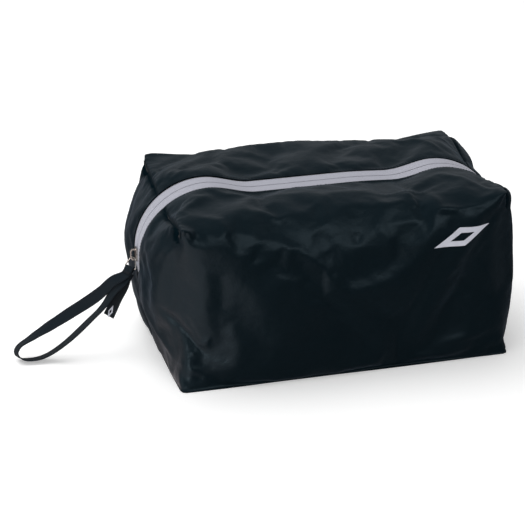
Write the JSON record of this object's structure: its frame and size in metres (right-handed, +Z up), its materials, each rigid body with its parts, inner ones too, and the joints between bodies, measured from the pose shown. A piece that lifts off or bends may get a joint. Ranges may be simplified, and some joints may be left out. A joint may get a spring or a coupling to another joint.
{
  "type": "shoe bag",
  "caption": "Box-shaped soft nylon pouch with a coil zip running up one end, over the top and down the other, a wire ring on the slider and a wrist strap on the ring.",
  "frame": {"origin": "centre of the base, on the ground", "axes": "+Z up, +X along the bag away from the slider, -Y the printed front"},
  "size_m": [0.5063, 0.2122, 0.1755],
  "materials": {
    "nylon": "thin plain-woven nylon, slightly glossy",
    "binding": "woven tape, matt",
    "zip_tape": "fine twill, light grey",
    "zip_coil": "moulded nylon coil",
    "nickel": "nickel-plated, polished",
    "webbing": "woven webbing, matt",
    "tab_weave": "satin weave",
    "thread": "bonded thread",
    "print_ink": "thin satin print film"
  },
  "bodies": {
    "bag": {"front_panel": "nylon", "back_panel": "nylon", "base_panel": "nylon", "end_binding_left": "binding", "end_binding_right": "binding", "base_binding_left": "binding", "base_binding_right": "binding", "front_corner_binding_left": "binding", "front_corner_binding_right": "binding", "back_corner_binding_left": "binding", "back_corner_binding_right": "binding", "front_tape_left": "zip_tape", "front_tape_right": "zip_tape", "back_tape_left": "zip_tape", "back_tape_right": "zip_tape", "front_coil_left": "zip_coil", "front_coil_right": "zip_coil", "back_coil_left": "zip_coil", "back_coil_right": "zip_coil", "zip_stop_left": "nickel", "zip_stop_right": "nickel", "front_print": "print_ink"},
    "front_flap": {"front_top_panel": "nylon", "front_tape_top": "zip_tape", "front_coil_top": "zip_coil"},
    "back_flap": {"back_top_panel": "nylon", "back_tape_top": "zip_tape", "back_coil_top": "zip_coil"},
    "slider": {"zip_slider": "nickel"},
    "pull_ring": {"pull_ring": "nickel"},
    "strap": {"wrist_strap": "webbing", "strap_tab": "tab_weave", "strap_bartack": "thread", "tab_print": "print_ink"}
  },
  "joints": [
    {"name": "front_flap_open", "type": "hinge", "parent": "bag", "child": "front_flap", "pos_m": [0, -0.0735, 0.1725], "axis": [-1, 0, 0], "range_deg": [-50, 0]},
    {"name": "back_flap_open", "type": "hinge", "parent": "bag", "child": "back_flap", "pos_m": [0, 0.0735, 0.1725], "axis": [1, 0, 0], "range_deg": [-50, 0]},
    {"name": "slider_travel", "type": "hinge", "parent": "bag", "child": "slider", "pos_m": [-0.1195, 0, 0.105], "axis": [0, 1, 0], "range_deg": [0, 90]},
    {"name": "ring_swing", "type": "hinge", "parent": "slider", "child": "pull_ring", "pos_m": [-0.1931, 0, 0.1014], "axis": [0.5736, -0.8192, 0], "range_deg": [-70, 0]},
    {"name": "strap_swing", "type": "hinge", "parent": "pull_ring", "child": "strap", "pos_m": [-0.1971, -0.0028, 0.09222], "axis": [0.5736, -0.8192, 0], "range_deg": [-60, 0]}
  ]
}
